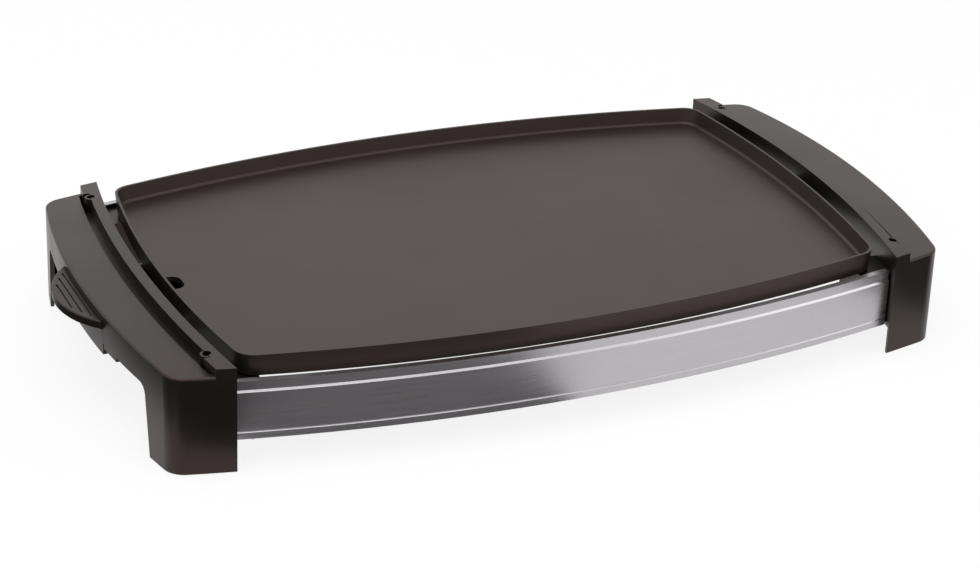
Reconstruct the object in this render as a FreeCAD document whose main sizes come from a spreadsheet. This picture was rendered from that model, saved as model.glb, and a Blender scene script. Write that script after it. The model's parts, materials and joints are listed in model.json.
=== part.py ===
import FreeCAD, Part
import Sketcher
import math
import os

# Electric griddle: a cast plate that drops in between two moulded ends, joined by two steel strips.
# X runs from the drawer end (-X) to the inlet end (+X), Y from front to rear, Z up; millimetres.
# The origin is on the table, under the middle of the griddle.

sizes = {
    # side rails: curved bars along the inner edge of each end
    "rail_end_x": 250.0,        # inner face at the rails' ends
    "rail_bow": 14.4,           # how far the inner face bows out at the middle
    "rail_half_depth": 157.6,   # half the length of the inner face
    "rail_width": 12.6,
    "rib_width": 8.0,           # the raised rib between the rail's end blocks
    "rib_half": 138.0,          # half the length of the groove beside the rib
    "rail_top": 81.0,           # top of the rib at the middle
    "rail_bottom": 20.5,
    "rail_skirt_bottom": 60.0,  # lower edge of the rail's outer wall
    "crown_drop": 2.7,          # how much lower the tops are at the ends than at the middle
    "wall": 2.6,                # moulded walls
    # end caps
    "cap_mid_x": 309.0,         # outer face at the middle
    "cap_bow": 10.5,
    "cap_bow_half": 118.0,
    "cap_top": 74.9,
    "cap_corner": 16.0,
    "cap_edge": 1.6,            # rounding of the top edge
    "groove_width": 1.9,        # between the rail and the cap's top
    "groove_depth": 5.0,
    "lip": 2.2,                 # turned-down inner edge of the cap's top
    "leg_bottom": 0.8,
    "leg_proud": 6.6,           # leg faces stand this far in front of the strips
    "arch_half_low": 119.8,     # half width of the arch at the table
    "arch_half_high": 113.0,    # half width of the arch at its top
    "arch_top": 52.5,
    "arch_corner": 8.0,
    "post_x": 283.5,            # foot posts and screw bosses
    "post_y": 137.5,
    "post_radius": 6.0,
    "boss_y": 111.0,
    "boss_radius": 4.0,
    "tab_thickness": 3.0,
    # strips
    "strip_mid_y": 177.0,
    "strip_bow": 26.0,
    "strip_top": 64.0,
    "strip_bottom": 21.2,
    "sheet": 0.8,
    "band_depth": 1.2,          # the upper band is set back by this much
    "band_bottom": 57.4,
    "face_top": 56.0,
    "score_z": 26.6,            # fine groove above the lower edge
    "score_depth": 0.7,
    "top_flange": 6.0,
    "bottom_flange": 9.0,
    # corner brackets and plate pads
    "bracket_x": 229.0,
    "bracket_y": 118.0,
    "bracket_top": 61.0,
    "pad_x": 238.3,
    "pad_y": 127.5,
    "pad_radius": 4.0,
    "pad_stem_radius": 1.5,
    "pad_stem": 4.0,
    # cooking plate
    "plate_half_length": 253.8,
    "plate_half_depth": 168.6,
    "plate_corner_x": 241.8,    # where the side and front arcs would meet
    "plate_corner_y": 142.3,
    "plate_corner": 15.0,
    "plate_top": 78.2,
    "plate_floor": 66.2,
    "plate_under": 62.3,
    "rim_width": 1.8,
    "rim_foot": 4.0,            # rim thickness at the cooking floor
    "skirt_draft": 1.5,
    "floor_cove": 2.4,
    "drain_x": 242.3,
    "drain_radius": 7.0,
    "drain_half_length": 10.0,
    # element under the plate
    "tube_radius": 3.25,
    "loop_right_x": 206.0,
    "loop_left_x": 190.0,
    "loop_y": 98.0,
    "loop_bend": 25.0,
    "lead_bend": 14.0,
    "lead_y": 16.0,
    "lead_end_x": 240.0,
    "cold_end": 7.0,
    "pin_radius": 2.0,
    "pin_end_x": 261.0,
    "clip_x": 100.0,
    "clip_half_width": 6.0,
    "clip_screw": 9.0,          # from the tube's centre to each clip screw
    "clip_tab": 13.0,
    "clip_boss": 3.0,
    "clip_boss_radius": 4.0,
    "clip_gap": 1.0,            # between the tube and a clip's legs
    "probe_z": 54.0,
    "probe_radius": 4.0,
    "probe_bore": 2.6,
    "probe_start_x": 226.0,
    "probe_end_x": 259.0,
    "probe_block_x": 222.0,
    "probe_block_length": 16.0,
    "probe_block_half": 8.0,
    "guard_half": 26.0,
    "guard_start_x": 243.0,
    "guard_end_x": 263.0,
    "guard_bottom": 46.5,
    "guard_sheet": 1.0,
    "guard_gap": 0.2,           # round the element's ends and the probe sleeve
    # inlet sleeve in the right end
    "sleeve_half": 27.0,
    "sleeve_bottom": 44.5,
    "sleeve_top": 65.0,
    "sleeve_wall": 1.8,
    "bezel_half": 34.0,
    "bezel_bottom": 38.0,
    "bezel_top": 69.0,
    # grease drawer in the left end
    "tray_half": 42.0,
    "tray_inner_x": 212.0,
    "tray_bottom": 45.0,
    "tray_top": 58.5,
    "tray_wall": 1.5,
    "tray_flange": 3.0,
    "front_half": 46.4,
    "front_bottom": 44.0,
    "front_thickness": 3.2,
    "pull_top": 69.0,
    "pull_reach": 18.0,
    "pull_half": 45.0,
    "pull_thickness": 6.5,
    "pull_groove": 1.4,
    "pull_groove_depth": 1.0,
    "pull_groove_step": 4.4,
    "opening_gap": 0.5,         # round the drawer front and the inlet bezel
    "slide_gap": 0.4,           # between the drawer and its runners
    "runner_web": 2.0,
    "runner_ledge": 1.6,
    "runner_outer_x": 296.0,
    "runner_top": 61.2,
    "lug_start_y": 48.0,        # small guide lugs beside the drawer opening
    "lug_width": 22.0,
    "lug_drop": 3.2,
    # sockets in the rails' ribs
    "socket_inset": 7.8,        # socket centre, outwards from the rail's inner face
    "socket_y": 132.0,
    "socket_radius": 3.0,
    "socket_depth": 8.0,
    "socket_wall": 1.6,
    # feet and screws
    "foot_radius": 7.5,
    "foot_height": 3.0,
    "foot_stem_radius": 2.5,
    "foot_stem": 8.0,
    "screw_radius": 1.45,
    "head_radius": 2.75,
    "head_height": 2.2,
}

doc = FreeCAD.newDocument("electric_griddle")
sheet = doc.addObject("Spreadsheet::Sheet", "Sizes")
for row, (alias, value) in enumerate(sizes.items(), start=1):
    sheet.set("A%d" % row, alias)
    sheet.set("B%d" % row, str(value))
    sheet.setAlias("B%d" % row, alias)
doc.recompute()


def cell(alias):
    return "Sizes." + alias


# ---- helpers: each size and place is an expression on the sheet

def bind(obj, **properties):
    for name, expression in properties.items():
        obj.setExpression(name, str(expression))
    return obj


def place(obj, x=0, y=0, z=0):
    obj.setExpression("Placement.Base.x", str(x))
    obj.setExpression("Placement.Base.y", str(y))
    obj.setExpression("Placement.Base.z", str(z))
    return obj


def box(name, x0, x1, y0, y1, z0, z1):
    obj = doc.addObject("Part::Box", name)
    bind(obj, Length="(%s) - (%s)" % (x1, x0), Width="(%s) - (%s)" % (y1, y0),
         Height="(%s) - (%s)" % (z1, z0))
    return place(obj, x0, y0, z0)


def cylinder(name, radius, x, y, z0, z1):
    obj = doc.addObject("Part::Cylinder", name)
    bind(obj, Radius=radius, Height="(%s) - (%s)" % (z1, z0))
    return place(obj, x, y, z0)


def cylinder_along_x(name, radius, x0, x1, y, z):
    obj = doc.addObject("Part::Cylinder", name)
    bind(obj, Radius=radius, Height="(%s) - (%s)" % (x1, x0))
    obj.Placement.Rotation = FreeCAD.Rotation(FreeCAD.Vector(0, 1, 0), 90)
    return place(obj, x0, y, z)


def cone(name, low_radius, high_radius, x, y, z0, z1):
    obj = doc.addObject("Part::Cone", name)
    bind(obj, Radius1=low_radius, Radius2=high_radius, Height="(%s) - (%s)" % (z1, z0))
    return place(obj, x, y, z0)


def common(name, *shapes):
    obj = doc.addObject("Part::MultiCommon", name)
    obj.Shapes = list(shapes)
    return obj


def fuse(name, *shapes):
    obj = doc.addObject("Part::MultiFuse", name)
    obj.Shapes = list(shapes)
    obj.Refine = True
    return obj


def cut(name, base, *tools):
    obj = doc.addObject("Part::Cut", name)
    obj.Base = base
    obj.Tool = tools[0] if len(tools) == 1 else fuse(name + "_tools", *tools)
    obj.Refine = True
    return obj


def group(name, *shapes):
    obj = doc.addObject("Part::Compound", name)
    obj.Links = list(shapes)
    return obj


def mirrored(name, source, normal):
    obj = doc.addObject("Part::Mirroring", name)
    obj.Source = source
    obj.Normal = normal
    return obj


def rounded(name, base, radius, wanted):
    """Part fillet on the edges of base for which wanted(edge) is true."""
    doc.recompute()
    obj = doc.addObject("Part::Fillet", name)
    obj.Base = base
    size = float(sheet.get(radius))
    obj.Edges = [(i, size, size) for i, edge in enumerate(base.Shape.Edges, start=1) if wanted(edge)]
    return obj


def is_upright(edge):
    """True for the vertical or drafted corner edges of an outline."""
    extent = edge.BoundBox
    return extent.ZLength > 2 * max(extent.XLength, extent.YLength)


left_right = FreeCAD.Vector(1, 0, 0)
front_rear = FreeCAD.Vector(0, 1, 0)

nodes = []


def node(label, *solids):
    """A finished piece, moved along X so that the origin is under the middle of the overall length."""
    piece = group(label, *solids)
    place(piece, "%s / 2" % cell("pull_reach"))
    nodes.append(piece)
    return piece


# ---- the griddle's driving curves

rail_radius = "(%s / 2 + %s ^ 2 / (2 * %s))" % (cell("rail_bow"), cell("rail_half_depth"), cell("rail_bow"))
rail_centre = "(%s + %s - %s)" % (cell("rail_end_x"), cell("rail_bow"), rail_radius)
strip_radius = "(%s / 2 + %s ^ 2 / (2 * %s))" % (cell("strip_bow"), cell("rail_end_x"), cell("strip_bow"))
strip_centre = "(%s - %s)" % (strip_radius, cell("strip_mid_y"))
cap_radius = "(%s / 2 + %s ^ 2 / (2 * %s))" % (cell("cap_bow"), cell("cap_bow_half"), cell("cap_bow"))
cap_centre = "(%s - %s)" % (cell("cap_mid_x"), cap_radius)
crown_radius = "(%s / 2 + %s ^ 2 / (2 * %s))" % (cell("crown_drop"), cell("rail_half_depth"),
                                                 cell("crown_drop"))

far_x = "(%s + 30)" % cell("cap_mid_x")
far_y = "(%s + 20)" % cell("strip_mid_y")
below = "-5"
above = "(%s + 20)" % cell("rail_top")
inner_x = "(%s - 20)" % cell("rail_end_x")


def rail_disc(name, extra):
    """Everything inside the right rail's inner face, moved outwards by extra."""
    return cylinder(name, "%s + %s" % (rail_radius, extra), rail_centre, 0, below, above)


def cap_disc(name, inset):
    return cylinder(name, "%s - %s" % (cap_radius, inset), cap_centre, 0, below, above)


def lens(name, proud):
    """Everything between the front and the rear strips' curves, moved outwards by proud."""
    radius = "%s + %s" % (strip_radius, proud)
    return common(name,
                  cylinder(name + "_front", radius, 0, strip_centre, below, above),
                  cylinder(name + "_rear", radius, 0, "-" + strip_centre, below, above))


def under_crown(name, top):
    """Everything below a top that is highest at the middle and drops to the front and rear."""
    return cylinder_along_x(name, crown_radius, "-" + far_x, far_x, 0, "%s - %s" % (top, crown_radius))


def rail_ring(name, inner, outer):
    return cut(name, rail_disc(name + "_out", outer), rail_disc(name + "_in", inner))


leg_face = lens("leg_face", cell("leg_proud"))
leg_inside = lens("leg_inside", "%s - %s" % (cell("leg_proud"), cell("wall")))
right_side = box("right_side", inner_x, far_x, "-" + far_y, far_y, cell("leg_bottom"), above)

wall = cell("wall")
rail_width = cell("rail_width")

# ---- side rails

ledge_top = "(%s - %s)" % (cell("cap_top"), cell("groove_depth"))
ledge_width = "%s + %s + %s" % (rail_width, cell("groove_width"), cell("lip"))
rib_span = box("rib_span", inner_x, far_x, "-" + cell("rib_half"), cell("rib_half"), below, above)
rib_side = cut("rib_side",
               common("rib_side_block", rib_span,
                      rail_ring("rib_side_ring", cell("rib_width"), rail_width + " + 1")),
               under_crown("rib_side_floor", ledge_top))
rail_block = cut("rail_block",
                 common("rail_bar", rail_ring("rail_ring", "0", rail_width), leg_face, right_side,
                        under_crown("rail_crown", cell("rail_top"))),
                 rib_side)
rail_core = fuse("rail_core",
                 common("rail_core_low", rail_ring("rail_core_ring", wall, "%s - %s" % (rail_width, wall)),
                        leg_inside, under_crown("rail_core_crown", "%s - %s" % (ledge_top, wall))),
                 common("rail_core_rib",
                        rail_ring("rib_core_ring", wall, "%s - %s" % (cell("rib_width"), wall)),
                        rib_span, under_crown("rib_core_crown", "%s - %s" % (cell("rail_top"), wall))))
rail_foot_gap = common("rail_foot_gap", leg_inside,
                       box("rail_foot_box", inner_x, far_x, "-" + far_y, far_y, below, cell("rail_bottom")))
rail_outer_gap = common("rail_outer_gap", rail_ring("rail_outer_ring", wall, rail_width + " + 1"),
                        leg_inside,
                        box("rail_outer_box", inner_x, far_x, "-" + far_y, far_y, below,
                            cell("rail_skirt_bottom")))
rail_shell = cut("rail_shell", rail_block, rail_core, rail_foot_gap, rail_outer_gap)

rail_ledge = cut("rail_ledge",
                 common("ledge_block",
                        rail_ring("ledge_ring", rail_width + " - 1", ledge_width),
                        leg_inside, under_crown("ledge_crown", ledge_top)),
                 under_crown("ledge_under", "%s - %s" % (ledge_top, wall)))

boss_x = cell("post_x")
tab_half = "(%s + 2)" % cell("boss_radius")
tab_low = "%s - %s" % (cell("rail_skirt_bottom"), cell("tab_thickness"))
rail_tabs = []
for name, side in (("tab_front", "-"), ("tab_rear", "")):
    mid = side + cell("boss_y")
    rail_tabs.append(common(
        name,
        rail_ring(name + "_ring", wall + " / 2", "60"),
        box(name + "_box", inner_x, "%s + %s" % (boss_x, tab_half), "%s - %s" % (mid, tab_half),
            "%s + %s" % (mid, tab_half), tab_low, cell("rail_skirt_bottom"))))


def rail_face_at(y):
    """X of the right rail's inner face at this distance from the middle."""
    return "(%s + sqrt((%s) ^ 2 - (%s) ^ 2))" % (rail_centre, rail_radius, y)


socket_x = "(%s + %s)" % (rail_face_at(cell("socket_y")), cell("socket_inset"))
socket_outer = "(%s + %s)" % (cell("socket_radius"), cell("socket_wall"))
socket_floor = "(%s - %s - %s)" % (cell("rail_top"), cell("crown_drop"), cell("socket_depth"))
socket_bosses = []
socket_bores = []
for name, side in (("socket_front", "-"), ("socket_rear", "")):
    y = side + cell("socket_y")
    socket_bosses.append(common(
        name + "_boss",
        cylinder(name + "_tube", socket_outer, socket_x, y, "%s - %s" % (socket_floor, wall), above),
        under_crown(name + "_crown", "%s - 0.6" % cell("rail_top"))))
    socket_bores.append(cylinder(name + "_bore", cell("socket_radius"), socket_x, y, socket_floor, above))

bracket_screw_y = "(%s + 12)" % cell("bracket_y")
bracket_screw_z = "(%s - 16)" % cell("bracket_top")
bracket_seat_x = "(%s + %s - 0.4)" % (rail_face_at(bracket_screw_y), wall)
screw_radius = cell("screw_radius")
bracket_screw_holes = []
tab_screw_holes = []
for name, side in (("front", "-"), ("rear", "")):
    bracket_screw_holes.append(cylinder_along_x(
        "rail_hole_" + name, screw_radius, inner_x, bracket_seat_x + " + 1",
        side + bracket_screw_y, bracket_screw_z))
    bracket_screw_holes.append(cylinder_along_x(
        "rail_seat_" + name, "%s + 0.4" % cell("head_radius"), bracket_seat_x, bracket_seat_x + " + 4",
        side + bracket_screw_y, bracket_screw_z))
    tab_screw_holes.append(cylinder(
        "tab_hole_" + name, screw_radius, boss_x, side + cell("boss_y"), tab_low + " - 1",
        cell("rail_skirt_bottom") + " + 1"))

rail_whole = cut("rail_whole",
                 fuse("rail_fused", rail_shell, rail_ledge, *rail_tabs, *socket_bosses),
                 *socket_bores, *bracket_screw_holes, *tab_screw_holes)

sleeve_window = box("sleeve_window", inner_x, "%s + 40" % cell("rail_end_x"),
                    "-" + cell("sleeve_half"), cell("sleeve_half"),
                    cell("sleeve_bottom"), cell("sleeve_top"))
runner_outside = "(%s + %s + %s + %s)" % (cell("tray_half"), cell("tray_flange"), cell("slide_gap"),
                                          cell("runner_web"))
drawer_window = box("drawer_window", "-%s - 40" % cell("rail_end_x"), "-" + inner_x,
                    "-" + runner_outside, runner_outside,
                    "%s - 1" % cell("front_bottom"), cell("runner_top"))
node("side_rail_right", cut("rail_right_cut", rail_whole, sleeve_window))
node("side_rail_left",
     cut("rail_left_cut", mirrored("rail_mirrored", rail_whole, left_right), drawer_window))

# ---- end caps


def cap_solid(name, inset, face, bottom, top):
    """The cap's outline, moved inwards by inset, with round corners and a crowned top."""
    block = common(name + "_block", cap_disc(name + "_disc", inset), face,
                   box(name + "_box", inner_x, far_x, "-" + far_y, far_y, bottom, above))
    corners = rounded(name + "_corners", block, "cap_corner",
                      lambda edge: is_upright(edge) and edge.BoundBox.XMin > sizes["post_x"])
    return common(name, corners, under_crown(name + "_crown", top))


cap_outer = rounded("cap_soft",
                    cap_solid("cap_outer", "0", leg_face, cell("leg_bottom"), cell("cap_top")), "cap_edge",
                    lambda edge: edge.BoundBox.ZMin > sizes["cap_top"] - 2 * sizes["crown_drop"]
                    and edge.BoundBox.XMax > sizes["rail_end_x"] + 5)
cap_inner = cap_solid("cap_inner", wall, leg_inside, below, "%s - %s" % (cell("cap_top"), wall))
groove_end = lens("groove_end", "%s - %s - %s" % (cell("leg_proud"), wall, cell("lip")))
groove_slot = common("groove_slot",
                     rail_disc("groove_disc", "%s + %s" % (rail_width, cell("groove_width"))),
                     groove_end,
                     box("groove_box", inner_x, far_x, "-" + far_y, far_y, ledge_top + " - 8", above))
rail_room = rail_disc("rail_room", rail_width)

arch = doc.addObject("Part::Wedge", "arch")
bind(arch, Xmin="0", Xmax="60", X2min="0", X2max="60",
     Zmin="-" + cell("arch_half_low"), Zmax=cell("arch_half_low"),
     Z2min="-" + cell("arch_half_high"), Z2max=cell("arch_half_high"),
     Ymin=below, Ymax=cell("arch_top"))
arch.Placement.Rotation = FreeCAD.Rotation(FreeCAD.Vector(1, 0, 0), 90)
place(arch, "%s - 40" % cell("cap_mid_x"))
arch = rounded("arch_rounded", arch, "arch_corner",
               lambda edge: edge.BoundBox.ZMin > sizes["arch_top"] - 1 and edge.BoundBox.XLength > 50)

lip_ring = common("lip_ring",
                  rail_ring("lip_disc", "%s + %s" % (rail_width, cell("groove_width")), ledge_width),
                  groove_end, under_crown("lip_crown", "%s - 1" % cell("cap_top")))
lip_wall = cut("lip_wall", lip_ring, under_crown("lip_under", ledge_top))

post_bottom = cell("foot_height")
cap_posts = []
post_bores = []
for name, side in (("post_front", "-"), ("post_rear", "")):
    y = side + cell("post_y")
    cap_posts.append(cylinder(name, cell("post_radius"), boss_x, y, post_bottom, above))
    post_bores.append(cylinder(name + "_bore", cell("foot_stem_radius"), boss_x, y, below,
                               "%s + %s" % (post_bottom, cell("foot_stem"))))
boss_pilot = "(%s + 8)" % cell("rail_skirt_bottom")
for name, side in (("boss_front", "-"), ("boss_rear", "")):
    y = side + cell("boss_y")
    cap_posts.append(cylinder(name, cell("boss_radius"), boss_x, y, cell("rail_skirt_bottom"), above))
    post_bores.append(cylinder(name + "_bore", screw_radius, boss_x, y, below, boss_pilot))
posts = common("cap_posts", group("cap_post_set", *cap_posts),
               under_crown("post_crown", "%s - 1" % cell("cap_top")))

cap_shell = cut("cap_shell", cap_outer, cap_inner, groove_slot, rail_room, arch)
cap_whole = cut("cap_whole", fuse("cap_fused", cap_shell, lip_wall, posts), *post_bores)

bezel_room = box("bezel_room", inner_x, far_x,
                 "-(%s + %s)" % (cell("bezel_half"), cell("opening_gap")),
                 "%s + %s" % (cell("bezel_half"), cell("opening_gap")), below,
                 "%s + %s" % (cell("bezel_top"), cell("opening_gap")))
front_room = box("front_room", "-" + far_x, "-" + inner_x,
                 "-(%s + %s)" % (cell("front_half"), cell("opening_gap")),
                 "%s + %s" % (cell("front_half"), cell("opening_gap")), below,
                 "%s + %s" % (cell("pull_top"), cell("opening_gap")))
side_ring = cut("side_ring", cap_disc("side_ring_out", "0"), cap_disc("side_ring_in", wall))
lugs = []
for name, low in (("lug_rear", cell("lug_start_y")),
                  ("lug_front", "-(%s + %s)" % (cell("lug_start_y"), cell("lug_width")))):
    lugs.append(common(
        name, mirrored(name + "_side", side_ring, left_right),
        box(name + "_box", "-" + far_x, "-" + inner_x, low, "%s + %s" % (low, cell("lug_width")),
            "%s - %s" % (cell("arch_top"), cell("lug_drop")), cell("arch_top") + " + 1")))
node("end_cap_right", cut("cap_right_cut", cap_whole, bezel_room))
node("end_cap_left",
     fuse("cap_left_lugs",
          cut("cap_left_cut", mirrored("cap_mirrored", cap_whole, left_right), front_room), *lugs))

# ---- steel strips: one bent profile turned about the strip's centre

strip_body = doc.addObject("PartDesign::Body", "strip_body")
strip_sketch = strip_body.newObject("Sketcher::SketchObject", "strip_profile")
yz_plane = [f for f in strip_body.Origin.OriginFeatures if f.Role == "YZ_Plane"][0]
strip_sketch.AttachmentSupport = [(yz_plane, "")]
strip_sketch.MapMode = "FlatFace"
band = cell("band_depth")
skin = cell("sheet")
score = cell("score_depth")
strip_profile = [
    (cell("top_flange"), cell("strip_top")),
    (band, cell("strip_top")),
    (band, cell("band_bottom")),
    ("0", cell("face_top")),
    ("0", "%s + %s" % (cell("score_z"), score)),
    (score, cell("score_z")),
    ("0", "%s - %s" % (cell("score_z"), score)),
    ("0", cell("strip_bottom")),
    (cell("bottom_flange"), cell("strip_bottom")),
    (cell("bottom_flange"), "%s + %s" % (cell("strip_bottom"), skin)),
    (skin, "%s + %s" % (cell("strip_bottom"), skin)),
    (skin, "%s - %s" % (cell("score_z"), score)),
    ("%s + %s" % (score, skin), cell("score_z")),
    (skin, "%s + %s" % (cell("score_z"), score)),
    (skin, "%s + 0.4" % cell("face_top")),
    ("%s + %s" % (band, skin), "%s + 0.4" % cell("band_bottom")),
    ("%s + %s" % (band, skin), "%s - %s" % (cell("strip_top"), skin)),
    (cell("top_flange"), "%s - %s" % (cell("strip_top"), skin)),
]


def number(expression):
    """The value of an expression, worked out by a cell of the sheet."""
    sheet.set("D1", "=" + expression.replace("Sizes.", ""))
    sheet.recompute()
    return float(sheet.get("D1"))


def outline(sketch, corners):
    """A closed outline of straight lines whose corners are set by expressions."""
    points = [FreeCAD.Vector(number(u), number(v), 0) for u, v in corners]
    for i, point in enumerate(points):
        sketch.addGeometry(Part.LineSegment(point, points[(i + 1) % len(points)]), False)
    for i, (u, v) in enumerate(corners):
        sketch.addConstraint(Sketcher.Constraint("Coincident", i - 1 if i else len(corners) - 1, 2, i, 1))
        for direction, expression, value in (("DistanceX", u, points[i].x), ("DistanceY", v, points[i].y)):
            index = sketch.addConstraint(Sketcher.Constraint(direction, -1, 1, i, 1, value))
            sketch.setExpression("Constraints[%d]" % index, expression)


outline(strip_sketch, [("-(%s - (%s))" % (strip_radius, depth), z) for depth, z in strip_profile])
strip_turn = strip_body.newObject("PartDesign::Revolution", "strip_turn")
strip_turn.Profile = strip_sketch
strip_turn.ReferenceAxis = (strip_sketch, ["V_Axis"])
strip_turn.Midplane = True
strip_turn.setExpression("Angle", "2 * asin(%s / %s)" % (cell("rail_end_x"), strip_radius))
place(strip_body, 0, strip_centre)

strip_screw_x = "(%s + 7)" % cell("bracket_x")
strip_screw_y = "(sqrt(%s ^ 2 - %s ^ 2) - %s - 5.5)" % (strip_radius, strip_screw_x, strip_centre)
strip_holes = [cylinder("strip_hole_" + name, screw_radius, side + strip_screw_x, "-" + strip_screw_y,
                        "%s - 1" % cell("strip_bottom"), "%s + 2" % cell("strip_bottom"))
               for name, side in (("left", "-"), ("right", ""))]
strip_drilled = cut("strip_drilled", strip_body, *strip_holes)
node("front_strip", strip_drilled)
node("rear_strip", mirrored("strip_mirrored", strip_drilled, front_rear))

# ---- corner brackets, and the pads that the plate stands on

bracket_bottom = "(%s + %s)" % (cell("strip_bottom"), skin)
bracket_screw_start = "(%s - 12)" % bracket_seat_x
strip_screw_end = "(%s + 9)" % bracket_bottom
bracket = cut("bracket_whole",
              common("bracket_block",
                     box("bracket_box", cell("bracket_x"), far_x, cell("bracket_y"), far_y,
                         bracket_bottom, cell("bracket_top")),
                     rail_disc("bracket_rail", "0"),
                     lens("bracket_strip", "0 - %s - %s" % (band, skin))),
              cylinder_along_x("bracket_bore", screw_radius, bracket_screw_start, far_x,
                               bracket_screw_y, bracket_screw_z),
              cylinder("bracket_strip_bore", screw_radius, strip_screw_x, strip_screw_y, below,
                       strip_screw_end),
              cylinder("bracket_pad_bore", cell("pad_stem_radius"), cell("pad_x"), cell("pad_y"),
                       "%s - %s" % (cell("bracket_top"), cell("pad_stem")), above))
pad = fuse("pad_whole",
           cylinder("pad_disc", cell("pad_radius"), cell("pad_x"), cell("pad_y"),
                    cell("bracket_top"), cell("plate_under")),
           cylinder("pad_stem_pin", cell("pad_stem_radius"), cell("pad_x"), cell("pad_y"),
                    "%s - %s" % (cell("bracket_top"), cell("pad_stem")), cell("bracket_top")))


def four(name, source):
    """The piece at the rear right, and its copies at the other three corners."""
    left = mirrored(name + "_mirror_left", source, left_right)
    return {"rear_right": source, "rear_left": left,
            "front_right": mirrored(name + "_mirror_front", source, front_rear),
            "front_left": mirrored(name + "_mirror_both", left, front_rear)}


for corner, piece in four("bracket", bracket).items():
    node("corner_bracket_" + corner, piece)
node("plate_pads", *four("pad", pad).values())

# ---- feet and screws

foot = fuse("foot_whole",
            rounded("foot_pad", cylinder("foot_disc", cell("foot_radius"), boss_x, cell("post_y"), "0",
                                         cell("foot_height")), "cap_edge",
                    lambda edge: edge.BoundBox.ZMax < 0.01 and edge.BoundBox.XLength > 5),
            cylinder("foot_stem", cell("foot_stem_radius"), boss_x, cell("post_y"), cell("foot_height"),
                     "%s + %s" % (cell("foot_height"), cell("foot_stem"))))
for corner, piece in four("foot", foot).items():
    node("foot_" + corner, piece)


def screw_up(name, x, y, seat, tip):
    """A pan-head screw driven upwards, its head under the seat."""
    return fuse(name,
                cylinder(name + "_head", cell("head_radius"), x, y,
                         "%s - %s" % (seat, cell("head_height")), seat),
                cylinder(name + "_shank", screw_radius, x, y, seat, tip))


def screw_along_x(name, tip, seat, y, z):
    """A pan-head screw along X, its head on the +X side of the seat."""
    return fuse(name,
                cylinder_along_x(name + "_head", cell("head_radius"), seat,
                                 "%s + %s" % (seat, cell("head_height")), y, z),
                cylinder_along_x(name + "_shank", screw_radius, tip, seat, y, z))


rail_screw = screw_up("rail_screw", boss_x, cell("boss_y"), tab_low, boss_pilot)
bracket_screw = screw_along_x("bracket_screw", bracket_screw_start, bracket_seat_x, bracket_screw_y,
                              bracket_screw_z)
strip_screw = screw_up("strip_screw", strip_screw_x, strip_screw_y, cell("strip_bottom"), strip_screw_end)
for name, screw in (("rail_screws", rail_screw), ("bracket_screws", bracket_screw),
                    ("strip_screws", strip_screw)):
    node(name, *four(name, screw).values())

# ---- cooking plate: drafted sides, a raised rim, a flat floor and a drain opening


def plate_arc_radius(bow, half):
    return "((%s) / 2 + (%s) ^ 2 / (2 * (%s)))" % (bow, half, bow)


side_bow = "(%s - %s)" % (cell("plate_half_length"), cell("plate_corner_x"))
front_bow = "(%s - %s)" % (cell("plate_half_depth"), cell("plate_corner_y"))
plate_side_radius = plate_arc_radius(side_bow, cell("plate_corner_y"))
plate_front_radius = plate_arc_radius(front_bow, cell("plate_corner_x"))
plate_side_centre = "(%s - %s)" % (cell("plate_half_length"), plate_side_radius)
plate_front_centre = "(%s - %s)" % (plate_front_radius, cell("plate_half_depth"))


def plate_solid(name, low_inset, high_inset, z0, z1):
    """The plate's barrel outline, drafted from one inset to the other."""
    cones = []
    for side, radius, x, y in (("right", plate_side_radius, plate_side_centre, "0"),
                               ("left", plate_side_radius, "-" + plate_side_centre, "0"),
                               ("front", plate_front_radius, "0", plate_front_centre),
                               ("rear", plate_front_radius, "0", "-" + plate_front_centre)):
        cones.append(cone(name + "_" + side, "%s - (%s)" % (radius, low_inset),
                          "%s - (%s)" % (radius, high_inset), x, y, z0, z1))
    return rounded(name + "_rounded", common(name, *cones), "plate_corner",
                   lambda edge: is_upright(edge))


rim_rise = "(%s - %s)" % (cell("plate_top"), cell("plate_floor"))
hollow_top = "(%s + 2)" % cell("plate_top")
rim_slope = "((%s - %s) / %s)" % (cell("rim_foot"), cell("rim_width"), rim_rise)
plate_outer = plate_solid("plate_outer", cell("skirt_draft"), "0", cell("plate_under"), cell("plate_top"))
plate_hollow = rounded(
    "plate_hollow",
    plate_solid("plate_inner", cell("rim_foot"), "%s - 2 * %s" % (cell("rim_width"), rim_slope),
                cell("plate_floor"), hollow_top),
    "floor_cove", lambda edge: edge.BoundBox.ZMax < sizes["plate_floor"] + 0.01)
drain_arm = "(%s - %s)" % (cell("drain_half_length"), cell("drain_radius"))
drain = fuse("drain",
             cylinder("drain_front", cell("drain_radius"), "-" + cell("drain_x"), "-" + drain_arm,
                      cell("plate_under") + " - 1", cell("plate_floor") + " + 6"),
             cylinder("drain_rear", cell("drain_radius"), "-" + cell("drain_x"), drain_arm,
                      cell("plate_under") + " - 1", cell("plate_floor") + " + 6"),
             box("drain_middle", "-(%s + %s)" % (cell("drain_x"), cell("drain_radius")),
                 "%s - %s" % (cell("drain_radius"), cell("drain_x")), "-" + drain_arm, drain_arm,
                 cell("plate_under") + " - 1", cell("plate_floor") + " + 6"))

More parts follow.
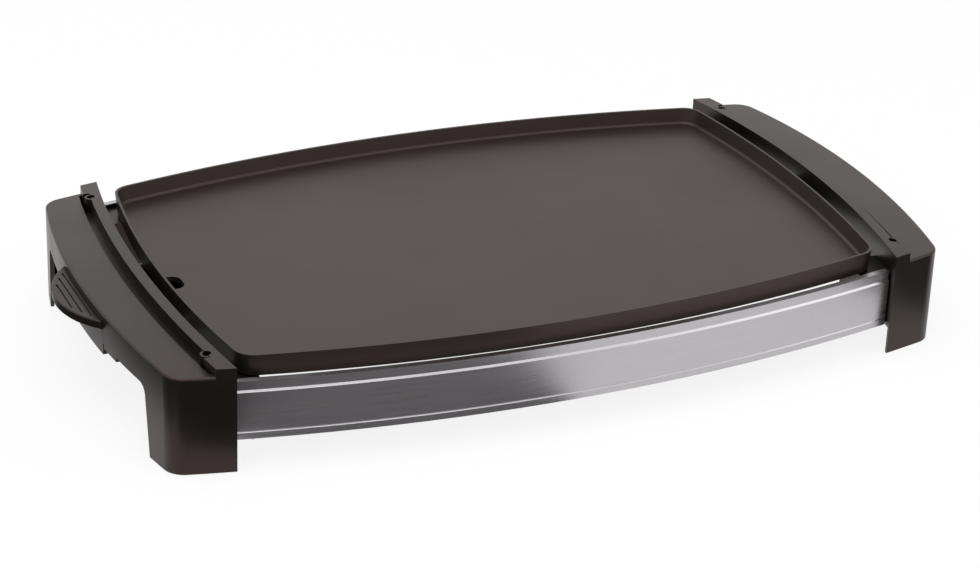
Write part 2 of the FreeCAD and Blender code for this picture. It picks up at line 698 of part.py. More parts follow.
clip_places = [("clip_%s_%s" % (across, along), x + cell("clip_x"), y + cell("loop_y"))
               for along, x in (("left", "-"), ("right", ""))
               for across, y in (("front", "-"), ("rear", ""))]
tab_top = "(%s - %s)" % (cell("plate_under"), cell("clip_boss"))
clip_tip = "(%s + 1.8)" % cell("plate_under")
clip_bosses = []
clip_bores = []
for name, x, y in clip_places:
    for side, shift in (("near", " - "), ("far", " + ")):
        at = "%s%s%s" % (y, shift, cell("clip_screw"))
        clip_bosses.append(cylinder("%s_boss_%s" % (name, side), cell("clip_boss_radius"), x, at, tab_top,
                                    cell("plate_under") + " + 1"))
        clip_bores.append(cylinder("%s_bore_%s" % (name, side), screw_radius, x, at, tab_top + " - 1",
                                   clip_tip))
probe_block = box("probe_block", cell("probe_block_x"),
                  "%s + %s" % (cell("probe_block_x"), cell("probe_block_length")),
                  "-" + cell("probe_block_half"), cell("probe_block_half"),
                  "%s - %s - 2" % (cell("probe_z"), cell("probe_radius")), cell("plate_under") + " + 1")
plate_dish = cut("plate_dish", plate_outer, plate_hollow)
plate = cut("plate_whole",
            fuse("plate_fused", plate_dish, probe_block, *clip_bosses),
            drain, *clip_bores,
            cylinder_along_x("probe_seat", cell("probe_radius"), cell("probe_start_x"), far_x, "0",
                             cell("probe_z")))
node("cooking_plate", plate)

# ---- heating element, its contact pins, clips, guard and probe sleeve

tube_z = "(%s - %s)" % (cell("plate_under"), cell("tube_radius"))


def tube_path(points, bends, z):
    """Straight runs joined by tangent arcs through the corners of a path at height z."""
    edges = []
    start = points[0]
    for before, corner, after, bend in zip(points, points[1:], points[2:], bends):
        back = (before - corner).normalize()
        on = (after - corner).normalize()
        turn = math.pi - back.getAngle(on)
        reach = bend * math.tan(turn / 2)
        first = corner + back * reach
        last = corner + on * reach
        inward = (back + on).normalize()
        middle = corner + inward * (bend / math.cos(turn / 2) - bend)
        edges.append(Part.LineSegment(start, first).toShape())
        edges.append(Part.Arc(first, middle, last).toShape())
        start = last
    edges.append(Part.LineSegment(start, points[-1]).toShape())
    path = Part.Wire(edges)
    path.translate(FreeCAD.Vector(0, 0, z))
    return path


def loop_path():
    lead_x, lead_y = number(cell("lead_end_x")), number(cell("lead_y"))
    right, left = number(cell("loop_right_x")), -number(cell("loop_left_x"))
    depth = number(cell("loop_y"))
    corners = [(lead_x, lead_y), (right, lead_y), (right, depth), (left, depth),
               (left, -depth), (right, -depth), (right, -lead_y), (lead_x, -lead_y)]
    bend, lead_bend = number(cell("loop_bend")), number(cell("lead_bend"))
    bends = [lead_bend, bend, bend, bend, bend, lead_bend]
    return tube_path([FreeCAD.Vector(x, y, 0) for x, y in corners], bends, number(tube_z))


path = loop_path()
profile = Part.Wire(Part.Circle(path.Vertexes[0].Point, FreeCAD.Vector(1, 0, 0),
                                number(cell("tube_radius"))).toShape())
element = doc.addObject("Part::Feature", "element")
element.Shape = path.makePipeShell([profile], True, False)
node("heating_element", element)

cold_ends = []
pins = []
for name, side in (("front", "-"), ("rear", "")):
    y = side + cell("lead_y")
    cold_stop = "(%s + %s)" % (cell("lead_end_x"), cell("cold_end"))
    cold_ends.append(cylinder_along_x("cold_end_" + name, cell("tube_radius"), cell("lead_end_x"),
                                      cold_stop, y, tube_z))
    pins.append(rounded("pin_round_" + name,
                        cylinder_along_x("pin_" + name, cell("pin_radius"), cold_stop, cell("pin_end_x"),
                                         y, tube_z), "pull_groove_depth",
                        lambda edge: edge.BoundBox.XMin > sizes["pin_end_x"] - 0.1))
node("element_ends", *cold_ends)
node("element_pins", *pins)

clips = []
clip_screws = []
leg = "(%s + %s)" % (cell("tube_radius"), cell("clip_gap"))
strap_low = "(%s - 2 * %s)" % (cell("plate_under"), cell("tube_radius"))
for name, x, y in clip_places:
    x0 = "%s - %s" % (x, cell("clip_half_width"))
    x1 = "%s + %s" % (x, cell("clip_half_width"))
    strap = fuse(name + "_strap",
                 box(name + "_tabs", x0, x1, "%s - %s" % (y, cell("clip_tab")),
                     "%s + %s" % (y, cell("clip_tab")), "%s - %s" % (tab_top, cell("guard_sheet")), tab_top),
                 box(name + "_legs", x0, x1, "%s - %s - %s" % (y, leg, cell("guard_sheet")),
                     "%s + %s + %s" % (y, leg, cell("guard_sheet")),
                     "%s - %s" % (strap_low, cell("guard_sheet")), tab_top))
    room = box(name + "_room", x0 + " - 1", x1 + " + 1", "%s - %s" % (y, leg), "%s + %s" % (y, leg),
               strap_low, cell("plate_under"))
    holes = []
    for side, shift in (("near", " - "), ("far", " + ")):
        at = "%s%s%s" % (y, shift, cell("clip_screw"))
        seat = "(%s - %s)" % (tab_top, cell("guard_sheet"))
        holes.append(cylinder("%s_hole_%s" % (name, side), screw_radius, x, at, seat + " - 1",
                              tab_top + " + 1"))
        clip_screws.append(screw_up("%s_screw_%s" % (name, side), x, at, seat, clip_tip))
    clips.append(cut(name, strap, room, *holes))
node("element_clips", *clips)
node("clip_screws", *clip_screws)
node("probe_sleeve",
     cut("probe_tube",
         cylinder_along_x("probe_outer", cell("probe_radius"), cell("probe_start_x"),
                          cell("probe_end_x"), "0", cell("probe_z")),
         cylinder_along_x("probe_inner", cell("probe_bore"), cell("probe_start_x") + " + 2",
                          cell("probe_end_x") + " + 1", "0", cell("probe_z"))))

metal = cell("guard_sheet")
guard_outer = box("guard_outer", cell("guard_start_x"), cell("guard_end_x"), "-" + cell("guard_half"),
                  cell("guard_half"), cell("guard_bottom"), cell("plate_under"))
guard_inner = box("guard_inner", cell("guard_start_x") + " + " + metal, cell("guard_end_x") + " + 1",
                  "%s - %s" % (metal, cell("guard_half")), "%s - %s" % (cell("guard_half"), metal),
                  "%s + %s" % (cell("guard_bottom"), metal), cell("plate_under") + " + 1")
end_hole = "%s + %s" % (cell("tube_radius"), cell("guard_gap"))
guard_holes = [cylinder_along_x("guard_hole_" + name, radius, cell("guard_start_x") + " - 1",
                                cell("guard_start_x") + " + 3", y, z)
               for name, radius, y, z in (
                   ("front", end_hole, "-" + cell("lead_y"), tube_z),
                   ("rear", end_hole, cell("lead_y"), tube_z),
                   ("probe", "%s + %s" % (cell("probe_radius"), cell("guard_gap")), "0", cell("probe_z")))]
node("terminal_guard", cut("guard", guard_outer, guard_inner, *guard_holes))

# ---- inlet sleeve in the right end

sleeve_outer = box("sleeve_outer", inner_x, far_x, "-" + cell("sleeve_half"), cell("sleeve_half"),
                   cell("sleeve_bottom"), cell("sleeve_top"))
sleeve_wall = cell("sleeve_wall")
sleeve_bore = box("sleeve_bore", inner_x, far_x, "%s - %s" % (sleeve_wall, cell("sleeve_half")),
                  "%s - %s" % (cell("sleeve_half"), sleeve_wall),
                  "%s + %s" % (cell("sleeve_bottom"), sleeve_wall),
                  "%s - %s" % (cell("sleeve_top"), sleeve_wall))
bezel = common("bezel", side_ring,
               box("bezel_box", inner_x, far_x, "-" + cell("bezel_half"), cell("bezel_half"),
                   cell("bezel_bottom"), cell("bezel_top")))
sleeve_tube = cut("sleeve_tube", common("sleeve_block", sleeve_outer, cap_disc("sleeve_disc", wall)),
                  rail_disc("sleeve_start", "0"))
node("inlet_sleeve", cut("sleeve", fuse("sleeve_fused", sleeve_tube, bezel), sleeve_bore))

# ---- grease drawer and its runners in the left end

left_disc_face = cylinder("left_disc_face", cap_radius, "-" + cap_centre, 0, below, above)
left_disc_back = cylinder("left_disc_back", "%s - %s" % (cap_radius, cell("front_thickness")),
                          "-" + cap_centre, 0, below, above)
left_disc_tray = cylinder("left_disc_tray", "%s - %s - %s" % (cap_radius, cell("front_thickness"),
                                                              cell("tray_wall")),
                          "-" + cap_centre, 0, below, above)
tray_wall = cell("tray_wall")
tray_half = cell("tray_half")
tray_x1 = "-" + cell("tray_inner_x")
tray_outer = common("tray_outer", left_disc_back,
                    box("tray_box", "-" + far_x, tray_x1, "-" + tray_half, tray_half,
                        cell("tray_bottom"), cell("tray_top")))
tray_hollow = common("tray_hollow", left_disc_tray,
                     box("tray_hollow_box", "-" + far_x, "%s - %s" % (tray_x1, tray_wall),
                         "%s - %s" % (tray_wall, tray_half), "%s - %s" % (tray_half, tray_wall),
                         "%s + %s" % (cell("tray_bottom"), tray_wall), above))
flange_half = "(%s + %s)" % (tray_half, cell("tray_flange"))
tray_flanges = box("tray_flanges", "-" + cell("runner_outer_x"), tray_x1, "-" + flange_half, flange_half,
                   "%s - %s" % (cell("tray_top"), tray_wall), cell("tray_top"))
drawer_screw_z = "(%s + 5.5)" % cell("tray_bottom")
drawer_screw_y = "(%s - 17)" % tray_half
front_back_x = "(sqrt((%s - %s) ^ 2 - %s ^ 2) + %s)" % (cap_radius, cell("front_thickness"),
                                                       drawer_screw_y, cap_centre)
drawer_seat_x = "(%s - %s)" % (front_back_x, tray_wall)
drawer_bores = []
drawer_screws = []
for name, side in (("front", "-"), ("rear", "")):
    y = side + drawer_screw_y
    tip = "-(%s + 2)" % front_back_x
    drawer_bores.append(cylinder_along_x("drawer_bore_" + name, screw_radius, tip,
                                         "-(%s - 6)" % front_back_x, y, drawer_screw_z))
    drawer_screws.append(screw_along_x("drawer_screw_" + name, tip, "-(%s - 0.4)" % drawer_seat_x, y,
                                       drawer_screw_z))
node("grease_drawer",
     cut("tray", fuse("tray_fused", tray_outer, tray_flanges), tray_hollow, *drawer_bores))
node("drawer_screws", *drawer_screws)

front_panel = cut("front_panel",
                  common("front_block", left_disc_face,
                         box("front_box", "-" + far_x, "-" + inner_x, "-" + cell("front_half"),
                             cell("front_half"), cell("front_bottom"), cell("pull_top"))),
                  left_disc_back)
pull_radius = "(%s / 2 + %s ^ 2 / (2 * %s))" % (cell("pull_reach"), cell("pull_half"), cell("pull_reach"))
pull_centre = "(%s + %s - %s)" % (cell("cap_mid_x"), cell("pull_reach"), pull_radius)
pull_block = cut("pull_block",
                 common("pull_disc_half",
                        cylinder("pull_disc", pull_radius, "-" + pull_centre, 0,
                                 "%s - %s" % (cell("pull_top"), cell("pull_thickness")),
                                 cell("pull_top")),
                        box("pull_box", "-%s - 60" % cell("cap_mid_x"), "-" + inner_x,
                            "-" + cell("pull_half"), cell("pull_half"), below, above)),
                 left_disc_back)
pull_soft = rounded("pull_soft", pull_block, "pull_groove_depth",
                    lambda edge: edge.BoundBox.XMin < -sizes["cap_mid_x"] - 10)
pull_grooves = []
for step in range(3):
    reach = "(3 + %d * %s)" % (step, cell("pull_groove_step"))
    groove_x = "(%s + %s)" % (cell("cap_mid_x"), reach)
    half = "(sqrt(%s ^ 2 - (%s - %s + 1.5) ^ 2) - 5)" % (pull_radius, groove_x, pull_centre)
    pull_grooves.append(box("pull_groove_%d" % step,
                            "-(%s + %s / 2)" % (groove_x, cell("pull_groove")),
                            "-(%s - %s / 2)" % (groove_x, cell("pull_groove")), "-" + half, half,
                            "%s - %s" % (cell("pull_top"), cell("pull_groove_depth")), above))
node("drawer_front",
     cut("front_whole", fuse("front_fused", front_panel, pull_soft), *pull_grooves, *drawer_bores))

slide_gap = cell("slide_gap")
flange_low = "(%s - %s - %s / 2)" % (cell("tray_top"), tray_wall, slide_gap)
web_inner = "(%s + %s)" % (flange_half, slide_gap)
runner_x0 = "-" + cell("runner_outer_x")
runner_rear = fuse("runner_whole",
                   box("runner_web", runner_x0, tray_x1, web_inner, runner_outside,
                       "%s - %s" % (flange_low, cell("runner_ledge")), cell("runner_top")),
                   box("runner_ledge", runner_x0, tray_x1, "%s + %s" % (tray_half, slide_gap), web_inner,
                       "%s - %s" % (flange_low, cell("runner_ledge")), flange_low))
node("drawer_runner_rear", runner_rear)
node("drawer_runner_front", mirrored("runner_mirrored", runner_rear, front_rear))

# ---- check every object, then write one STEP file for each piece

doc.recompute()
for obj in doc.Objects:
    if "Invalid" in obj.State or "Error" in obj.State:
        raise RuntimeError("%s failed: %s" % (obj.Name, obj.State))
for piece in nodes:
    if piece.Shape.isNull() or not piece.Shape.isValid() or not piece.Shape.Solids:
        raise RuntimeError("%s has no valid solid" % piece.Label)

os.makedirs("parts", exist_ok=True)
for piece in nodes:
    piece.Shape.exportStep("parts/%s.step" % piece.Label)
    print("%-28s %d solids %10.1f mm3" % (piece.Label, len(piece.Shape.Solids), piece.Shape.Volume))
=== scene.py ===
import bpy
import json
import math
from mathutils import Matrix, Vector


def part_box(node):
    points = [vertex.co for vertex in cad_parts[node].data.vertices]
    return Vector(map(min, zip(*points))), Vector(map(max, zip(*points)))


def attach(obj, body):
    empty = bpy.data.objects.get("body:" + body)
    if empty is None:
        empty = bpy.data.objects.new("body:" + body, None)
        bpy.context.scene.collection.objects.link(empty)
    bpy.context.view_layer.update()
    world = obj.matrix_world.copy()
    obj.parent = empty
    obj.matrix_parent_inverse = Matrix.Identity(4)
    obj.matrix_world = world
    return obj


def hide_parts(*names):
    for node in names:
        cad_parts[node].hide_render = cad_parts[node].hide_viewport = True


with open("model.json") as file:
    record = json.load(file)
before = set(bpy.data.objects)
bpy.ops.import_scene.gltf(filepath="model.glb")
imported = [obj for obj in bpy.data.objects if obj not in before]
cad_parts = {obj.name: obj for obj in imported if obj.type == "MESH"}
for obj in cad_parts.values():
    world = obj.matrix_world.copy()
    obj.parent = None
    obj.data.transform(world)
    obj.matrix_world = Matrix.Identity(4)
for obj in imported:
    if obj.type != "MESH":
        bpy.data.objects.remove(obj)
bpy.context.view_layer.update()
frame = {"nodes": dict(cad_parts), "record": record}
nodes = frame["nodes"]
bpy.ops.object.select_all(action="DESELECT")
bpy.context.scene.view_settings.view_transform = "Standard"
print("frame loaded:", len(nodes), "nodes")


cameraSetup = {
    "location": (-0.7747, -1.6938, 0.9374),
    "azimuth": -24.888,      # degrees round Z, from straight in front
    "elevation": 26.042,
    "roll": 2.316,
    "focalLength": 103.29,   # on a 36 mm wide sensor
}


def makeCamera():
    data = bpy.data.cameras.new("camera")
    data.sensor_width = 36
    data.lens = cameraSetup["focalLength"]
    data.clip_end = 50
    camera = bpy.data.objects.new("camera", data)
    bpy.context.scene.collection.objects.link(camera)
    camera.location = cameraSetup["location"]
    turn = Matrix.Rotation(math.radians(cameraSetup["azimuth"]), 3, "Z")
    tilt = Matrix.Rotation(math.radians(90 - cameraSetup["elevation"]), 3, "X")
    roll = Matrix.Rotation(math.radians(cameraSetup["roll"]), 3, "Z")
    camera.rotation_euler = (turn @ tilt @ roll).to_euler()
    bpy.context.scene.camera = camera


def newMaterial(name):
    material = bpy.data.materials.new(name)
    material.use_nodes = True
    tree = material.node_tree
    return material, tree, tree.nodes["Principled BSDF"]


def addNode(tree, kind, **values):
    node = tree.nodes.new(kind)
    for key, value in values.items():
        setattr(node, key, value)
    return node


def objectPattern(tree, kind, scale, stretch=(1, 1, 1), detail=3):
    # a noise, voronoi or wave texture that sits still on the piece
    place = addNode(tree, "ShaderNodeTexCoord")
    mapping = addNode(tree, "ShaderNodeMapping")
    mapping.inputs["Scale"].default_value = stretch
    pattern = addNode(tree, kind)
    pattern.inputs["Scale"].default_value = scale
    if "Detail" in pattern.inputs:
        pattern.inputs["Detail"].default_value = detail
    tree.links.new(place.outputs["Object"], mapping.inputs["Vector"])
    tree.links.new(mapping.outputs["Vector"], pattern.inputs["Vector"])
    return pattern


def mapRange(tree, source, low, high, fromLow=0.3, fromHigh=0.7):
    ranged = addNode(tree, "ShaderNodeMapRange")
    ranged.inputs["From Min"].default_value = fromLow
    ranged.inputs["From Max"].default_value = fromHigh
    ranged.inputs["To Min"].default_value = low
    ranged.inputs["To Max"].default_value = high
    tree.links.new(source, ranged.inputs["Value"])
    return ranged.outputs["Result"]


def mixColours(tree, factor, first, second):
    mix = addNode(tree, "ShaderNodeMix", data_type="RGBA")
    mix.inputs["A"].default_value = (*first, 1)
    mix.inputs["B"].default_value = (*second, 1)
    tree.links.new(factor, mix.inputs["Factor"])
    return mix.outputs["Result"]


def addBump(tree, shader, height, strength, distance, before=None):
    bump = addNode(tree, "ShaderNodeBump")
    bump.inputs["Strength"].default_value = strength
    bump.inputs["Distance"].default_value = distance
    tree.links.new(height, bump.inputs["Height"])
    if before:
        tree.links.new(before, bump.inputs["Normal"])
    tree.links.new(bump.outputs["Normal"], shader.inputs["Normal"])
    return bump.outputs["Normal"]


mouldedBlack = {
    "colour": (0.0046, 0.0042, 0.0032),
    "paleColour": (0.0062, 0.0055, 0.0043),
    "sheen": (1.0, 0.74, 0.69),
    "roughness": (0.30, 0.38),
    "grainScale": 1500,
    "grainDepth": 0.00003,
}


def makeMouldedBlack():
    material, tree, shader = newMaterial("mouldedBlack")
    cloud = objectPattern(tree, "ShaderNodeTexNoise", 18)
    grain = objectPattern(tree, "ShaderNodeTexNoise", mouldedBlack["grainScale"])
    colour = mixColours(tree, cloud.outputs["Fac"], mouldedBlack["colour"], mouldedBlack["paleColour"])
    tree.links.new(colour, shader.inputs["Base Color"])
    roughness = mapRange(tree, cloud.outputs["Fac"], *mouldedBlack["roughness"])
    tree.links.new(roughness, shader.inputs["Roughness"])
    shader.inputs["Specular Tint"].default_value = (*mouldedBlack["sheen"], 1)
    addBump(tree, shader, grain.outputs["Fac"], 0.35, mouldedBlack["grainDepth"])
    return material


coatedPlate = {
    "colour": (0.0140, 0.0108, 0.0094),
    "wornColour": (0.0180, 0.0138, 0.0122),
    "sheen": (1.0, 0.74, 0.69),
    "roughness": (0.36, 0.44),
    "speckleScale": 1100,
}


def makeCoatedPlate():
    material, tree, shader = newMaterial("coatedPlate")
    cloud = objectPattern(tree, "ShaderNodeTexNoise", 9, detail=5)
    speckle = objectPattern(tree, "ShaderNodeTexNoise", coatedPlate["speckleScale"], detail=2)
    colour = mixColours(tree, cloud.outputs["Fac"], coatedPlate["colour"], coatedPlate["wornColour"])
    tree.links.new(colour, shader.inputs["Base Color"])
    roughness = mapRange(tree, cloud.outputs["Fac"], *coatedPlate["roughness"])
    tree.links.new(roughness, shader.inputs["Roughness"])
    shader.inputs["Specular Tint"].default_value = (*coatedPlate["sheen"], 1)
    addBump(tree, shader, speckle.outputs["Fac"], 0.3, 0.00003)
    return material


brushedStrip = {
    "colour": (0.56, 0.54, 0.56),
    "darkColour": (0.44, 0.42, 0.44),
    "roughness": (0.26, 0.36),
    "lineScale": 1800,
}


def makeBrushedStrip():
    material, tree, shader = newMaterial("brushedStrip")
    lines = objectPattern(tree, "ShaderNodeTexNoise", brushedStrip["lineScale"], (0.012, 0.012, 1), 4)
    colour = mixColours(tree, lines.outputs["Fac"], brushedStrip["darkColour"], brushedStrip["colour"])
    tree.links.new(colour, shader.inputs["Base Color"])
    shader.inputs["Metallic"].default_value = 1
    roughness = mapRange(tree, lines.outputs["Fac"], *brushedStrip["roughness"])
    tree.links.new(roughness, shader.inputs["Roughness"])
    shader.inputs["Anisotropic"].default_value = 0.6
    tangent = addNode(tree, "ShaderNodeTangent", direction_type="RADIAL", axis="Z")
    tree.links.new(tangent.outputs["Tangent"], shader.inputs["Tangent"])
    addBump(tree, shader, lines.outputs["Fac"], 0.2, 0.00002)
    return material


def makeMetal(name, colour, roughness, cloudScale=60):
    material, tree, shader = newMaterial(name)
    cloud = objectPattern(tree, "ShaderNodeTexNoise", cloudScale, detail=4)
    darker = tuple(value * 0.8 for value in colour)
    tree.links.new(mixColours(tree, cloud.outputs["Fac"], darker, colour), shader.inputs["Base Color"])
    spread = mapRange(tree, cloud.outputs["Fac"], roughness * 0.8, roughness * 1.2)
    tree.links.new(spread, shader.inputs["Roughness"])
    shader.inputs["Metallic"].default_value = 1
    addBump(tree, shader, cloud.outputs["Fac"], 0.1, 0.00005)
    return material


def makeRubber():
    material, tree, shader = newMaterial("footRubber")
    grain = objectPattern(tree, "ShaderNodeTexNoise", 900)
    tree.links.new(mixColours(tree, grain.outputs["Fac"], (0.012, 0.012, 0.012), (0.022, 0.021, 0.020)),
                   shader.inputs["Base Color"])
    tree.links.new(mapRange(tree, grain.outputs["Fac"], 0.6, 0.75), shader.inputs["Roughness"])
    addBump(tree, shader, grain.outputs["Fac"], 0.3, 0.00006)
    return material


black = makeMouldedBlack()
plateFinish = makeCoatedPlate()
stripFinish = makeBrushedStrip()
rubber = makeRubber()
screwSteel = makeMetal("screwSteel", (0.42, 0.41, 0.40), 0.34)
clipSteel = makeMetal("clipSteel", (0.50, 0.49, 0.48), 0.4)
darkSteel = makeMetal("darkSteel", (0.11, 0.10, 0.09), 0.45)
contactMetal = makeMetal("contactMetal", (0.62, 0.60, 0.56), 0.22)

finishes = {
    "black_moulding": black, "drawer_moulding": black, "steel_strip": stripFinish,
    "coated_plate": plateFinish, "rubber": rubber, "screw_steel": screwSteel,
    "element_steel": darkSteel, "contact_metal": contactMetal, "clip_steel": clipSteel,
}


def paint(piece, material):
    piece.data.materials.clear()
    piece.data.materials.append(material)


for entry in frame["record"]["subparts"]:
    paint(nodes[entry["node"]], finishes[entry["material_slot"]])
print("materials set")


# screws: each is modelled once and copied to its places; each foot is modelled at its own place

screwShape = {
    "headRadius": 0.00275, "headHeight": 0.0022, "shankRadius": 0.00145,
    "crown": 0.0008,         # bevel of the head's upper edge
    "crossLength": 0.0032, "crossWidth": 0.0007, "crossDepth": 0.0011,
    "tip": 0.0006,
    "firstTurn": 11, "turnStep": 37,     # degrees
    "clipSpacing": 0.018,    # between the two screws of a clip
}


def addPiece(name, add, **values):
    bpy.ops.object.select_all(action="DESELECT")
    add(**values)
    piece = bpy.context.object
    piece.name = name
    return piece


def applyPlace(piece):
    bpy.ops.object.select_all(action="DESELECT")
    piece.select_set(True)
    bpy.context.view_layer.objects.active = piece
    bpy.ops.object.transform_apply(location=True, rotation=True, scale=True)


def applyModifier(piece, kind, **values):
    bpy.ops.object.select_all(action="DESELECT")
    piece.select_set(True)
    bpy.context.view_layer.objects.active = piece
    modifier = piece.modifiers.new(kind, kind)
    for key, value in values.items():
        setattr(modifier, key, value)
    bpy.ops.object.modifier_apply(modifier=modifier.name)


def bevelEdges(piece, wanted, offset, segments):
    # bevels the edges for which wanted(edge's two ends) is true
    bpy.ops.object.select_all(action="DESELECT")
    piece.select_set(True)
    bpy.context.view_layer.objects.active = piece
    bpy.ops.object.mode_set(mode="EDIT")
    bpy.ops.mesh.select_all(action="DESELECT")
    bpy.ops.mesh.select_mode(type="EDGE")
    bpy.ops.object.mode_set(mode="OBJECT")
    mesh = piece.data
    for edge in mesh.edges:
        edge.select = wanted(*(mesh.vertices[i].co for i in edge.vertices))
    bpy.ops.object.mode_set(mode="EDIT")
    bpy.ops.mesh.bevel(offset=offset, segments=segments, affect="EDGES")
    bpy.ops.object.mode_set(mode="OBJECT")


def makeScrewMaster(length):
    # a pan-head screw with a cross recess: head up from z 0, shank down to -length
    size = screwShape
    head = addPiece("screwHead", bpy.ops.mesh.primitive_cylinder_add, vertices=48, radius=size["headRadius"],
                    depth=size["headHeight"],
                    location=(0, 0, size["headHeight"] / 2))
    applyPlace(head)
    bevelEdges(head, lambda a, b: min(a.z, b.z) > size["headHeight"] * 0.9, size["crown"], 4)
    for turn in (0, 90):
        slot = addPiece("screwSlot", bpy.ops.mesh.primitive_cube_add, size=1,
                        location=(0, 0, size["headHeight"]), rotation=(0, 0, math.radians(turn)))
        slot.scale = (size["crossLength"], size["crossWidth"], size["crossDepth"] * 2)
        applyPlace(slot)
        applyModifier(head, "BOOLEAN", object=slot, operation="DIFFERENCE", solver="EXACT")
        bpy.data.objects.remove(slot)
    shank = addPiece("screwShank", bpy.ops.mesh.primitive_cylinder_add, vertices=32,
                     radius=size["shankRadius"], depth=length, location=(0, 0, -length / 2))
    applyPlace(shank)
    bevelEdges(shank, lambda a, b: max(a.z, b.z) < -length * 0.99, size["tip"], 2)
    bpy.ops.object.select_all(action="DESELECT")
    shank.select_set(True)
    head.select_set(True)
    bpy.context.view_layer.objects.active = head
    bpy.ops.object.join()
    bpy.ops.object.shade_smooth_by_angle(angle=math.radians(40))
    return head


def screwSet(name, node, body, seats, length):
    # copies of one screw, heads down at the seats, joined as one piece that stands for the node
    master = makeScrewMaster(length)
    copies = []
    for seat, spin in seats:
        copy = master.copy()
        copy.data = master.data.copy()
        bpy.context.scene.collection.objects.link(copy)
        turned = Matrix.Rotation(math.radians(180), 4, "X") @ Matrix.Rotation(math.radians(spin), 4, "Z")
        copy.matrix_world = Matrix.Translation(seat) @ turned
        copies.append(copy)
    bpy.data.objects.remove(master)
    bpy.ops.object.select_all(action="DESELECT")
    for copy in copies:
        copy.select_set(True)
    bpy.context.view_layer.objects.active = copies[0]
    bpy.ops.object.join()
    piece = bpy.context.object
    piece.name = name
    applyPlace(piece)
    paint(piece, screwSteel)
    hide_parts(node)
    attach(piece, body)


def cornersOf(node):
    # the four places at the corners of a node's box, one head radius in from its sides
    low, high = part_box(node)
    inset = screwShape["headRadius"]
    seat = low[2] + screwShape["headHeight"]
    return [(x, y, seat) for x in (low[0] + inset, high[0] - inset)
            for y in (low[1] + inset, high[1] - inset)]


def spun(places):
    # each screw stopped at its own angle
    return [(place, screwShape["turnStep"] * index + screwShape["firstTurn"])
            for index, place in enumerate(places)]


def shankLength(node):
    low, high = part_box(node)
    return high[2] - low[2] - screwShape["headHeight"]


for node, name in (("rail_screws", "railScrewsCross"), ("strip_screws", "stripScrewsCross")):
    screwSet(name, node, "base", spun(cornersOf(node)), shankLength(node))
clipOuter = cornersOf("clip_screws")
clipInner = [(x, y - math.copysign(screwShape["clipSpacing"], y), z) for x, y, z in clipOuter]
screwSet("clipScrewsCross", "clip_screws", "plate", spun(clipOuter + clipInner),
         shankLength("clip_screws"))
print("screws made")

footShape = {
    "radius": 0.0075, "height": 0.003, "stemRadius": 0.0025, "stemTop": 0.011,
    "edge": 0.0008, "ringWidth": 0.0011, "ringDepth": 0.0006, "ringAt": (0.0055, 0.0034),
}


def makeFoot(node):
    # a round rubber foot with two grooves in its underside and a stem above
    size = footShape
    low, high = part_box(node)
    x, y = (low[0] + high[0]) / 2, (low[1] + high[1]) / 2
    foot = addPiece("rubber_" + node, bpy.ops.mesh.primitive_cylinder_add, vertices=64,
                    radius=size["radius"], depth=size["height"], location=(x, y, size["height"] / 2))
    applyPlace(foot)
    bevelEdges(foot, lambda a, b: max(a.z, b.z) < 0.0001 or min(a.z, b.z) > size["height"] * 0.99,
               size["edge"], 4)
    for radius in size["ringAt"]:
        ring = addPiece("footRing", bpy.ops.mesh.primitive_torus_add, major_segments=64, minor_segments=12,
                        major_radius=radius, minor_radius=size["ringWidth"] / 2, location=(x, y, 0))
        applyPlace(ring)
        applyModifier(foot, "BOOLEAN", object=ring, operation="DIFFERENCE", solver="EXACT")
        bpy.data.objects.remove(ring)
    stem = addPiece("footStem", bpy.ops.mesh.primitive_cylinder_add, vertices=32, radius=size["stemRadius"],
                    depth=size["stemTop"] - size["height"],
                    location=(x, y, (size["stemTop"] + size["height"]) / 2))
    applyPlace(stem)
    bpy.ops.object.select_all(action="DESELECT")
    stem.select_set(True)
    foot.select_set(True)
    bpy.context.view_layer.objects.active = foot
    bpy.ops.object.join()
    bpy.ops.object.shade_smooth_by_angle(angle=math.radians(40))
    paint(foot, rubber)
    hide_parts(node)
    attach(foot, "base")


for side in ("rear_right", "rear_left", "front_right", "front_left"):
    makeFoot("foot_" + side)
print("feet made")


studio = {
    "floorSize": 12,
    "keyPower": 26, "keySize": 2.2,
    "fillPower": 9, "fillSize": 1.6,
    "skyLevel": 0.55,
    "floorGlow": 0.82,       # the share of the floor's own light, which keeps it white
    "glowStrength": 1.05,
    "keyPlace": (-0.6, -0.3, 2.2), "fillPlace": (1.6, -1.6, 1.0),
    "aimAt": (0, 0, 0.05),
    "cardHeight": 0.0006,
    # cards on the floor, mirrored only in upright faces: x, y of the middle, length, depth, shade
    "cards": {
        "cardFrontLeft": (-0.385, -0.38, 0.29, 0.38, 0.012),
        "cardFrontRight": (0.585, -0.36, 0.50, 0.38, 0.012),
        "cardLeft": (-0.62, 0.05, 0.54, 0.80, 0.012),
        "cardMiddle": (-0.115, -0.36, 0.25, 0.36, 0.17),
    },
}


def seenRays(tree):
    # 1 for what the camera sees directly or in a reflection or through glass
    path = addNode(tree, "ShaderNodeLightPath")
    first = addNode(tree, "ShaderNodeMath", operation="MAXIMUM")
    second = addNode(tree, "ShaderNodeMath", operation="MAXIMUM")
    tree.links.new(path.outputs["Is Camera Ray"], first.inputs[0])
    tree.links.new(path.outputs["Is Glossy Ray"], first.inputs[1])
    tree.links.new(first.outputs[0], second.inputs[0])
    tree.links.new(path.outputs["Is Transmission Ray"], second.inputs[1])
    return second.outputs[0]


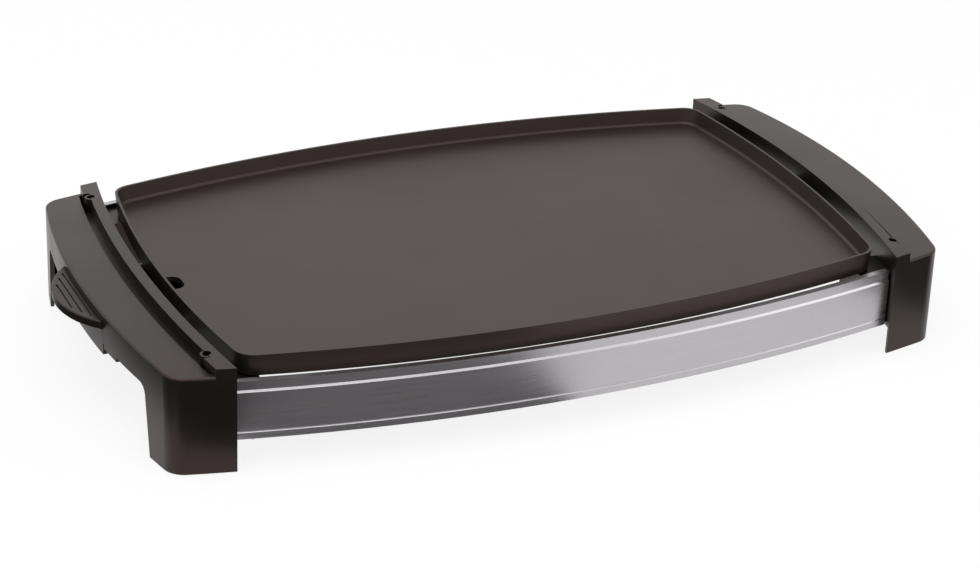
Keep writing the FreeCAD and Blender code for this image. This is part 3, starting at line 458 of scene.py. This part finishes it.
def makeFloor():
    bpy.ops.mesh.primitive_plane_add(size=studio["floorSize"], location=(0, 0, 0))
    floor = bpy.context.object
    floor.name = "floor"
    material, tree, shader = newMaterial("floorPaper")
    shader.inputs["Base Color"].default_value = (0.82, 0.82, 0.82, 1)
    shader.inputs["Roughness"].default_value = 0.9
    glow = addNode(tree, "ShaderNodeEmission")
    glow.inputs["Color"].default_value = (1, 1, 1, 1)
    glow.inputs["Strength"].default_value = studio["glowStrength"]
    mix = addNode(tree, "ShaderNodeMixShader")
    share = addNode(tree, "ShaderNodeMath", operation="MULTIPLY")
    share.inputs[1].default_value = studio["floorGlow"]
    tree.links.new(seenRays(tree), share.inputs[0])
    tree.links.new(share.outputs[0], mix.inputs[0])
    tree.links.new(shader.outputs[0], mix.inputs[1])
    tree.links.new(glow.outputs[0], mix.inputs[2])
    tree.links.new(mix.outputs[0], tree.nodes["Material Output"].inputs["Surface"])
    paint(floor, material)


def makeCards():
    for name, (x, y, length, depth, shade) in studio["cards"].items():
        material, tree, shader = newMaterial(name)
        shader.inputs["Base Color"].default_value = (shade, shade, shade, 1)
        shader.inputs["Roughness"].default_value = 1
        bpy.ops.mesh.primitive_plane_add(size=1, location=(x, y, studio["cardHeight"]))
        card = bpy.context.object
        card.name = name
        card.scale = (length, depth, 1)
        card.visible_camera = False
        card.visible_diffuse = False
        card.visible_shadow = False
        paint(card, material)


def makeWorld():
    world = bpy.data.worlds.new("studio")
    bpy.context.scene.world = world
    world.use_nodes = True
    tree = world.node_tree
    sky = tree.nodes["Background"]
    level = addNode(tree, "ShaderNodeMapRange")
    level.inputs["To Min"].default_value = studio["skyLevel"]
    level.inputs["To Max"].default_value = 1
    tree.links.new(seenRays(tree), level.inputs["Value"])
    sky.inputs["Color"].default_value = (1, 1, 1, 1)
    tree.links.new(level.outputs["Result"], sky.inputs["Strength"])


def areaLamp(name, place, size, power):
    data = bpy.data.lights.new(name, "AREA")
    data.shape = "SQUARE"
    data.size = size
    data.energy = power
    lamp = bpy.data.objects.new(name, data)
    bpy.context.scene.collection.objects.link(lamp)
    lamp.location = place
    aim = Vector(studio["aimAt"]) - Vector(place)
    lamp.rotation_euler = aim.to_track_quat("-Z", "Y").to_euler()


makeCamera()
makeFloor()
makeCards()
makeWorld()
areaLamp("keyLamp", studio["keyPlace"], studio["keySize"], studio["keyPower"])
areaLamp("fillLamp", studio["fillPlace"], studio["fillSize"], studio["fillPower"])
print("studio set")
